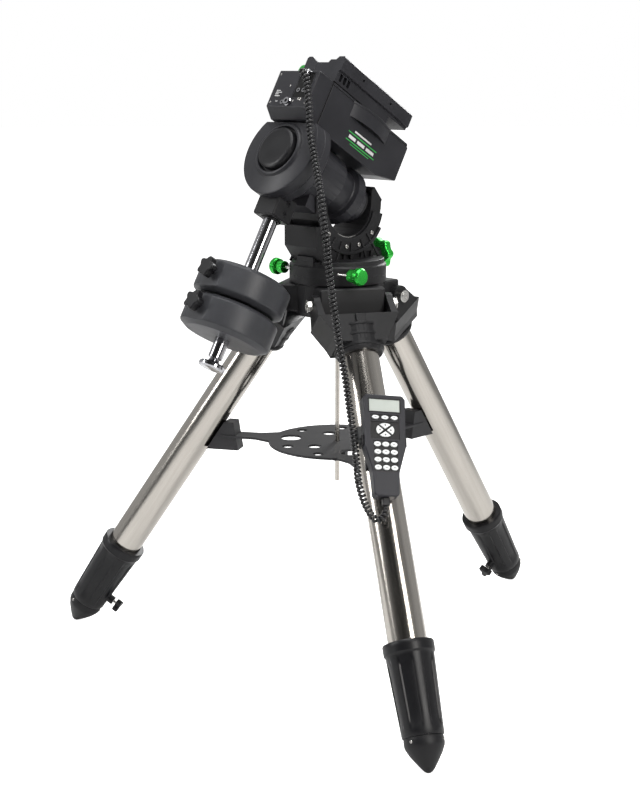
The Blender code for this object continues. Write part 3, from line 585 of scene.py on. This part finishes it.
def make_base():
    collar = [(60.0, 829.2), (100.0, 829.2), (103.0, 832.0), (103.0, 846.0), (101.6, 847.5), (103.0, 849.0),
              (103.0, 866.0), (100.5, 869.5), (98.4, 872.0), (98.4, 879.6), (97.0, 880.6), (60.0, 880.6)]
    piece("base_collar", lathe(collar, 128), TRIPOD, "azimuth_head", "casting",
          cuts=[moved(rod(4.6, 36.0, 130.0, 24), facing((side, 0, 0), (0, -70.0, 857.0)))
                for side in (-1.0, 1.0)])
    for side in (-1.0, 1.0):
        tag = "right" if side > 0 else "left"
        works = [band(98.6, 105.0, -148.0, -32.0, 46.5, 50.5)]
        for turn in (-126.0, -111.0, -90.0, -69.0, -54.0):
            t = math.radians(turn)
            reach = 118.0 / max(0.6, abs(math.sin(t)))
            width = 3.4 if turn != -90.0 else 5.5
            near = Vector((math.cos(t), math.sin(t)))
            wide = Vector((-near.y, near.x)) * width / 2
            outline = [near * 80.0 + wide, near * 80.0 - wide, near * reach - wide * 1.6,
                       near * reach + wide * 1.6]
            works.append(prism([tuple(p) for p in outline], 46.5, 50.0))
        ribs = join(*works)
        ribs = across(ribs)
        if side < 0:
            turned(ribs, Matrix.Scale(-1.0, 4, (1, 0, 0)))
        piece(f"seat_ribs_{tag}", ribs, ALTITUDE, "azimuth_head", "casting", 0.8)
        bolts = [screw_head(4.5, 3.4, (side * 46.8, 88.0 * math.cos(math.radians(t)),
                                       88.0 * math.sin(math.radians(t))), (side, 0, 0))
                 for t in (-140.0, -100.0, -76.0, -46.0)]
        piece(f"seat_bolts_{tag}", join(*bolts), ALTITUDE, "azimuth_head", "steel")
        # Painted highlight: a thin steel crescent only along the lower part of the rim stands in for the bright arc of
        # light there.
        crescent = across(band(67.2, 69.0, -122.0, -74.0, 41.6, 42.5))
        if side < 0:
            turned(crescent, Matrix.Scale(-1.0, 4, (1, 0, 0)))
        piece(f"machined_edge_{tag}", crescent, ALTITUDE, "altitude_cradle", "steel")
        barrel = []
        for step in range(48):
            t = 2.0 * math.pi * step / 48
            size = 13.2 if step % 2 else 12.3
            barrel.append((size * math.cos(t), size * math.sin(t)))
        wound_in = 0.0 if side > 0 else LEFT_WOUND_IN
        grip = join(prism(barrel, 105.0, 124.0),
                    lathe([(0, 123.0), (16.0, 123.0), (18.0, 126.0), (18.0, 135.0), (15.0, 139.6), (10.0, 139.0),
                           (0, 139.6)], 48))
        spot = axis_frame((0.0, -70.0, 857.0))
        turned(grip, Matrix.Translation((0.0, 0.0, -wound_in)))
        piece(f"azimuth_grip_{tag}", moved(grip, facing((side, 0, 0))), spot,
              f"{tag}_azimuth_screw", "green", 0.5, replaces=["azimuth_knob_" + tag])
        piece(f"azimuth_stud_{tag}", moved(rod(4.0, 60.0 - wound_in, 107.0 - wound_in, 24), facing((side, 0, 0))), spot,
              f"{tag}_azimuth_screw", "steel")
    wheel = moved(prism(lobed(34.0, 5.2, 7), 109.0, 128.0), facing((0, 1, 0)))
    stem = moved(rod(6.0, 93.0, 111.0, 32), facing((0, 1, 0)))
    spot = axis_frame((12.0, 0.0, 880.0))
    piece("altitude_wheel", wheel, spot, "altitude_screw", "green", 4.0, replaces=["altitude_knob"])
    piece("altitude_stem", stem, spot, "altitude_screw", "steel")


# ---------------------------------------------------------------- head

def make_housing():
    drum = [(33.0, 17.2), (54.0, 17.2), (61.5, 23.0), (61.8, 24.0), (61.8, 58.0), (60.6, 59.2), (61.8, 60.4),
            (61.8, 94.0), (60.0, 97.0), (52.0, 101.0), (50.0, 104.0), (50.0, 136.0), (51.5, 138.0), (60.0, 140.0),
            (61.8, 141.5), (61.8, 160.0), (60.0, 162.0), (49.0, 165.5), (47.5, 168.0), (44.0, 189.6), (33.0, 189.6)]
    piece("polar_drum", moved(lathe(drum, ROUND), facing((0, 1, 0))), HEAD, "altitude_cradle", "charcoal")
    dress(["ra_housing"], "charcoal", 0.0)
    cap = lathe([(0, 190.4), (41.0, 190.4), (43.0, 192.0), (42.0, 196.5), (39.5, 197.9), (30.0, 197.2), (0, 197.9)])
    piece("rear_cap", moved(cap, facing((0, 1, 0))), HEAD, "altitude_cradle", "plastic",
          replaces=["ra_rear_cap"])


def make_head():
    profile = [(0, -47.6), (49.0, -47.6), (50.0, -52.0), (51.5, -55.6), (54.0, -55.8), (57.5, -54.0),
               (60.0, -50.5), (64.0, -49.0), (93.4, -48.0), (96.0, -46.4), (96.8, -44.0), (96.8, -24.0),
               (95.9, -23.0), (96.8, -22.0), (96.8, -5.0), (95.0, -3.0), (86.0, 1.8), (76.0, 14.2), (0, 14.2)]
    piece("polar_disc", moved(lathe(profile, 144), facing((0, 1, 0))), HEAD, "polar_head", "charcoal", 0.0,
          cuts=[block((-120.0, -90.0, 62.5), (120.0, 60.0, 130.0)),
                block((-31.0, -29.0, -120.0), (31.0, 30.0, -79.7))],
          replaces=["ra_head"])
    cap = lathe([(0, -62.6), (20.0, -63.2), (36.0, -63.8), (41.0, -63.2), (44.6, -61.0), (45.8, -57.0),
                 (45.8, -48.4), (0, -48.4)], 96)
    piece("polar_cap", moved(cap, facing((0, 1, 0))), HEAD, "polar_head", "plastic",
          replaces=["ra_front_cap"])
    dress(["shaft_socket"], "casting", 1.5)
    bolts = [screw_head(5.0, 5.0, (25.5, 2.0, height), (1, 0, 0)) for height in (-93.0, -115.0)]
    piece("socket_bolts", join(*bolts), HEAD, "polar_head", "plastic")
    collar = lathe([(15.4, -134.5), (19.0, -134.5), (20.5, -133.0), (20.5, -130.4), (15.4, -130.4)], 64)
    piece("shaft_collar", collar, HEAD, "polar_head", "casting")


def stripe(low, high, x=58.0, thick=0.35):
    return block((x, low[0], low[1]), (x + thick, high[0], high[1]))


def make_declination_box():
    dress(["dec_housing", "port_box"], "charcoal", 1.8)
    dress(["dec_lid"], "charcoal", 0.8)
    # The large wheel's cover stands out of the side as part of a wide drum.
    bulge = prism(arc(COVER_RADIUS, -COVER_ARC, COVER_ARC, 30, COVER_CENTRE) + [(50.0, 168.4), (50.0, 37.6)],
                  130.0, 158.0)
    piece("wheel_cover", bulge, HEAD, "polar_head", "charcoal", 1.2)
    rim_arc = COVER_ARC - 0.5
    strip = prism(arc(COVER_RADIUS + 1.0, -rim_arc, rim_arc, 30, COVER_CENTRE)
                  + arc(COVER_RADIUS - 5.0, rim_arc, -rim_arc, 30, COVER_CENTRE), 158.0, 162.5)
    piece("wheel_cover_rim", strip, HEAD, "polar_head", "charcoal", 0.8)
    seam = across(prism([(-32.3, 64.0), (-31.4, 64.0), (-31.4, 165.2), (-32.3, 165.2)], -58.2, 58.2))
    piece("box_seam", seam, HEAD, "polar_head", "shadow")
    lines = join(stripe((54.0, 102.0), (150.0, 103.8)), stripe((54.0, 85.0), (150.0, 86.8)),
                 stripe((70.0, 80.0), (134.0, 81.4)))
    piece("label_green_lines", lines, HEAD, "polar_head", "green_print")
    bars = join(stripe((72.0, 108.0), (128.0, 111.6)), stripe((60.0, 91.0), (82.0, 97.5)),
                stripe((88.0, 91.0), (112.0, 97.5)), stripe((118.0, 91.0), (144.0, 97.5)))
    piece("label_pale_bars", bars, HEAD, "polar_head", "pale_print")


def make_ports():
    """The panel of sockets on the north face, at ds 77: jacks, a switch and small screws."""
    face = -77.0
    # Painted shade: a near-black sheet behind the rim darkens the port recess.
    piece("port_recess_shade", block((5.5, face + 1.0, 102.5), (49.5, face + 2.0, 160.5)), HEAD, "polar_head",
          "shadow")
    rim = join(block((4.8, face - 0.6, 101.8), (50.2, face + 0.8, 103.2)),
               block((4.8, face - 0.6, 160.0), (50.2, face + 0.8, 161.4)),
               block((4.8, face - 0.6, 103.0), (6.2, face + 0.8, 160.2)),
               block((48.8, face - 0.6, 103.0), (50.2, face + 0.8, 160.2)))
    piece("port_rim", rim, HEAD, "polar_head", "charcoal", 0.3)
    jacks = [moved(lathe([(2.4, 75.2), (4.6, 75.2), (4.6, 78.0), (2.4, 78.0)], 32), facing((0, -1, 0), (x, 0, z)))
             for x, z in ((32.6, 120.5), (18.0, 120.5), (-16.0, 93.0))]
    jacks.append(moved(lathe([(3.6, 77.2), (9.2, 77.2), (9.2, 80.0), (7.6, 81.5), (7.6, 84.6), (3.6, 84.6)], 40),
                       facing((0, -1, 0), (2.2, 0, 93.0))))
    piece("jacks", join(*jacks), HEAD, "polar_head", "chrome", replaces=["power_socket"])
    # Painted shade: a near-black core behind the chrome jacks darkens their holes.
    piece("jack_hole_shade", moved(rod(7.4, 76.0, 82.4, 40), facing((0, -1, 0), (2.2, 0, 93.0))), HEAD, "polar_head",
          "shadow")
    lever = join(block((26.5, face - 1.2, 97.5), (36.5, face + 0.2, 103.5)),
                 block((30.0, face - 4.5, 99.3), (32.8, face, 101.7)))
    piece("power_switch", lever, HEAD, "polar_head", "steel", 0.3)
    screws = [screw_head(2.0, 1.4, (x, face + 0.3, z), (0, -1, 0))
              for x, z in ((-50.0, 92.0), (50.0, 92.0), (-50.0, 155.0), (14.0, 96.0), (-10.0, 130.0))]
    piece("panel_screws", join(*screws), HEAD, "polar_head", "steel")
    marks = [block((x, face - 0.3, z), (x + w, face + 0.1, z + 1.6))
             for x, z, w in ((-44.0, 118.0, 12.0), (-44.0, 114.0, 17.0), (-44.0, 110.0, 9.0), (-44.0, 106.0, 14.0),
                             (-36.0, 94.0, 6.0))]
    piece("panel_marks", join(*marks), HEAD, "polar_head", "pale_print")


def make_saddle():
    dress(["saddle_body", "saddle_jaw"], "charcoal", 0.9)
    profile = [(0, 66.0), (12.0, 66.0), (18.0, 68.5), (18.2, 81.0), (15.5, 85.4), (11.0, 84.6), (0, 85.8)]
    knurl = lathe(profile, 48)
    spot = HEAD @ Matrix.Translation((0, 5.0 * MM, 205.0 * MM))
    piece("jaw_grip", moved(knurl, facing((-1, 0, 0))), spot, "jaw_screw", "green", 0.5,
          replaces=["saddle_knob"])
    piece("jaw_stud", moved(rod(4.0, 26.0, 68.0, 24), facing((-1, 0, 0))), spot, "jaw_screw", "steel")


# ---------------------------------------------------------------- counterweights

def make_counterweights():
    shaft = lathe([(0, -438.0), (14.0, -438.0), (15.0, -437.0), (15.0, -89.0), (14.4, -88.4), (0, -88.4)], 72)
    piece("weight_shaft", shaft, HEAD, "polar_head", "chrome", replaces=["counterweight_shaft"])
    toe = [(0, -461.0), (22.0, -461.0), (25.5, -460.0), (27.5, -457.0), (27.5, -451.5), (25.0, -448.5),
           (13.0, -446.0), (11.2, -444.0), (10.0, -438.5), (0, -438.5)]
    piece("toe_cap", lathe(toe, 72), HEAD, "toe_saver_end", "chrome", replaces=["toe_saver"])
    for index, top in enumerate((-258.0, -330.0)):
        low = top - 67.0
        body = f"weight_{index + 1}"
        profile = [(15.4, low), (78.0, low), (81.0, low + 0.8), (93.5, low + 8.0), (95.0, low + 11.0),
                   (95.0, top - 11.0), (94.0, top - 8.0), (83.0, top - 0.8), (80.0, top), (46.0, top),
                   (44.0, top - 3.0), (26.0, top - 3.0), (24.0, top), (15.4, top)]
        flat = block((-34.0, -110.0, low - 5.0), (34.0, -91.0, top + 5.0))
        screw_bore = moved(rod(5.4, 70.0, 100.0, 32), facing((0, -1, 0), (0, 0, top - 28.0)))
        piece(f"weight_disc_{index + 1}", lathe(profile, 144), HEAD, body, "weight", 0.7,
              cuts=[flat, screw_bore], replaces=[f"counterweight_{index + 1}"])
        spot = HEAD @ Matrix.Translation((0, 0, (top - 28.0) * MM))
        star = moved(prism(lobed(21.5, 6.0, 5), 98.0, 114.0), facing((0, -1, 0)))
        piece(f"star_grip_{index + 1}", star, spot, body + "_screw", "plastic", 2.4,
              replaces=[f"weight_knob_{index + 1}"])
        stem = join(moved(rod(5.0, 72.0, 99.0, 24), facing((0, -1, 0))),
                    moved(rod(9.5, 91.6, 98.6, 32), facing((0, -1, 0))))
        piece(f"star_stem_{index + 1}", stem, spot, body + "_screw", "plastic")


# ---------------------------------------------------------------- handset

def oval(half_x, half_z, steps=24):
    return [(half_x * math.cos(2 * math.pi * s / steps), half_z * math.sin(2 * math.pi * s / steps))
            for s in range(steps)]


def key(x, z, half_x, half_z):
    shape = [(x + px, z + pz) for px, pz in oval(half_x, half_z)]
    return upright(prism(shape, -1.9, 1.8))


def make_handset():
    dress(["handset_case"], "handset", 1.6)
    dress(["handset_window"], "glass", 0.3)
    dress(["handset_holder", "cord_plug_bottom"], "plastic", 1.0)
    bezel = join(upright(prism([(-33.0, -38.0), (33.0, -38.0), (33.0, -36.0), (-33.0, -36.0)], -0.8, 0.4)),
                 upright(prism([(-33.0, -10.0), (33.0, -10.0), (33.0, -8.0), (-33.0, -8.0)], -0.8, 0.4)),
                 upright(prism([(-33.0, -38.0), (-31.0, -38.0), (-31.0, -8.0), (-33.0, -8.0)], -0.8, 0.4)),
                 upright(prism([(31.0, -38.0), (33.0, -38.0), (33.0, -8.0), (31.0, -8.0)], -0.8, 0.4)))
    piece("display_bezel", bezel, HANDSET, "leg_a", "plastic", 0.4)
    rows = {"menu": [(x, -48.5, 7.0, 3.8) for x in (-19.0, 0.0, 19.0)],
            "number": [(x, -104.5 - 16.0 * row, 6.9, 4.9) for row in range(4) for x in (-16.5, 0.0, 16.5)]}
    sheets = {"menu": ((-28.5, -54.5), (28.5, -42.5)), "number": ((-23.5, -159.5), (23.5, -97.5)),
              "arrow": ((-28.5, -92.5), (28.5, -57.5))}
    marks = {"menu": [], "number": [], "arrow": []}
    for name, keys in rows.items():
        low, high = sheets[name]
        works = [key(*spot) for spot in keys]
        piece(name + "_key_caps", join(*works), HANDSET, name + "_pad", "key", 0.7,
              replaces=[name + "_keys"])
        marks[name] = [(x, z, 2.2, 0.5) for x, z, _, _ in keys]
    arrows = []
    for turn in (0.0, 90.0, 180.0, 270.0):
        t = math.radians(turn)
        sector = [(math.radians(v), 1.0) for v in range(-38, 39, 4)] + [(0.0, 0.2)]
        outline = [(18.0 * size * math.cos(v + t), -75.0 + 14.0 * size * math.sin(v + t)) for v, size in sector]
        arrows.append(upright(prism(outline, -1.9, 1.8)))
        marks["arrow"].append((-11.0 * math.sin(t), -75.0 + 10.0 * math.cos(t), 1.5, 1.5))
    piece("arrow_key_caps", join(*arrows), HANDSET, "arrow_pad", "key", 0.7, replaces=["arrow_keys"])
    for name, spots in marks.items():
        works = [upright(prism([(x - w, z - h), (x + w, z - h), (x + w, z + h), (x - w, z + h)], -2.05, -1.8))
                 for x, z, w, h in spots]
        piece(name + "_key_marks", join(*works), HANDSET, name + "_pad", "legend")
    for name, (low, high) in sheets.items():
        sheet = upright(prism([(low[0], low[1]), (high[0], low[1]), (high[0], high[1]), (low[0], high[1])],
                              1.2, 2.3))
        piece(name + "_key_sheet", sheet, HANDSET, name + "_pad", "plastic")


# ---------------------------------------------------------------- stage

CAMERA_PLACE = (2.1935, -2.3508, 1.2728)
CAMERA_AZIMUTH = 44.47
CAMERA_PITCH = 12.67
CAMERA_YAW = -0.69
FOCAL_PIXELS = 1478.0
LONG_SIDE = 800.0
SENSOR = 36.0


def make_camera():
    data = bpy.data.cameras.new("camera")
    data.sensor_width = SENSOR
    data.lens = FOCAL_PIXELS * SENSOR / LONG_SIDE
    made = bpy.data.objects.new("camera", data)
    around, yaw, pitch = (math.radians(v) for v in (CAMERA_AZIMUTH, CAMERA_YAW, CAMERA_PITCH))
    level = (Vector((-math.sin(around), math.cos(around), 0.0)) * math.cos(yaw)
             + Vector((math.cos(around), math.sin(around), 0.0)) * math.sin(yaw))
    made.rotation_euler = (level * math.cos(pitch) - UP * math.sin(pitch)).to_track_quat("-Z", "Y").to_euler()
    made.location = CAMERA_PLACE
    bpy.context.scene.collection.objects.link(made)
    bpy.context.scene.camera = made


def lamp(name, place, target, size, power, colour=(1.0, 1.0, 1.0)):
    data = bpy.data.lights.new(name, "AREA")
    data.shape = "RECTANGLE"
    data.size, data.size_y = size
    data.energy = power
    data.color = colour
    made = bpy.data.objects.new(name, data)
    made.location = place
    made.rotation_euler = (Vector(target) - Vector(place)).to_track_quat("-Z", "Y").to_euler()
    bpy.context.scene.collection.objects.link(made)


def make_stage():
    work = bmesh.new()
    bmesh.ops.create_circle(work, cap_ends=True, radius=30.0, segments=64)
    mesh = bpy.data.meshes.new("floor")
    work.to_mesh(mesh)
    work.free()
    floor = bpy.data.objects.new("floor", mesh)
    floor.location.z = -0.0004
    paper = bpy.data.materials.new("pale_paper")
    paper.use_nodes = True
    shader = paper.node_tree.nodes["Principled BSDF"]
    shader.inputs["Base Color"].default_value = (0.80, 0.80, 0.80, 1.0)
    shader.inputs["Emission Color"].default_value = (1.0, 1.0, 1.0, 1.0)
    # The paper glows only to the eye, so that it does not wash out the tubes that mirror it.
    sight = add(paper.node_tree, "ShaderNodeLightPath")
    glow = add(paper.node_tree, "ShaderNodeMath", operation="MULTIPLY")
    glow.inputs[1].default_value = 0.9
    paper.node_tree.links.new(sight.outputs["Is Camera Ray"], glow.inputs[0])
    paper.node_tree.links.new(glow.outputs["Value"], shader.inputs["Emission Strength"])
    shader.inputs["Roughness"].default_value = 0.9
    shader.inputs["Specular IOR Level"].default_value = 0.1
    mesh.materials.append(paper)
    bpy.context.scene.collection.objects.link(floor)
    make_world()
    middle = (0.0, -0.1, 0.7)
    lamp("right", (3.6, -0.9, 2.3), middle, (0.9, 2.6), 120.0, (1.0, 0.98, 0.95))
    lamp("left", (-2.4, -3.4, 2.4), middle, (0.7, 2.4), 75.0)
    lamp("top", (0.2, -0.6, 4.4), middle, (3.0, 3.0), 170.0)
    lamp("back", (-1.4, 3.2, 2.6), middle, (1.2, 2.0), 70.0)


def make_world():
    """A white studio that is brighter to look at than it is as a light."""
    world = bpy.data.worlds.new("studio")
    world.use_nodes = True
    tree = world.node_tree
    backdrop = tree.nodes["Background"]
    backdrop.inputs["Strength"].default_value = 1.0
    backdrop.inputs["Color"].default_value = (1.0, 1.0, 1.0, 1.0)
    fill = add(tree, "ShaderNodeBackground")
    fill.inputs["Color"].default_value = (1.0, 1.0, 1.0, 1.0)
    # The studio is dark behind the viewer, so polished tubes show dark bands between bright edges.
    sight = add(tree, "ShaderNodeTexCoord")
    toward = add(tree, "ShaderNodeVectorMath", operation="DOT_PRODUCT")
    toward.inputs[1].default_value = (0.70, -0.71, 0.0)
    level = add(tree, "ShaderNodeMapRange")
    for label, value in (("From Min", -0.1), ("From Max", 0.62), ("To Min", 0.5), ("To Max", 0.03)):
        level.inputs[label].default_value = value
    tree.links.new(sight.outputs["Generated"], toward.inputs[0])
    tree.links.new(toward.outputs["Value"], level.inputs["Value"])
    tree.links.new(level.outputs["Result"], fill.inputs["Strength"])
    path = add(tree, "ShaderNodeLightPath")
    mix = add(tree, "ShaderNodeMixShader")
    tree.links.new(path.outputs["Is Camera Ray"], mix.inputs["Fac"])
    tree.links.new(fill.outputs["Background"], mix.inputs[1])
    tree.links.new(backdrop.outputs["Background"], mix.inputs[2])
    tree.links.new(mix.outputs["Shader"], tree.nodes["World Output"].inputs["Surface"])
    bpy.context.scene.world = world
    bpy.context.scene.view_settings.view_transform = "Standard"


def main():
    make_camera()
    make_cord()
    make_stage()
    dress(["tripod_hub"] + ["leg_yoke_" + letter for letter in LEG_ANGLES], "casting", 2.0)
    dress(["azimuth_base", "altitude_rocker"], "casting", 1.0)
    dress(["ra_shaft", "ra_worm", "dec_shaft", "dec_worm"] + ["pivot_bolt_" + l for l in LEG_ANGLES], "steel")
    dress(["ra_worm_wheel", "dec_worm_wheel"], "brass")
    dress(["cord_plug_top"], "chrome", 0.5)
    for letter in LEG_ANGLES:
        make_leg(letter)
    make_tray()
    make_base()
    make_housing()
    make_head()
    make_declination_box()
    make_ports()
    make_saddle()
    make_counterweights()
    make_handset()


main()
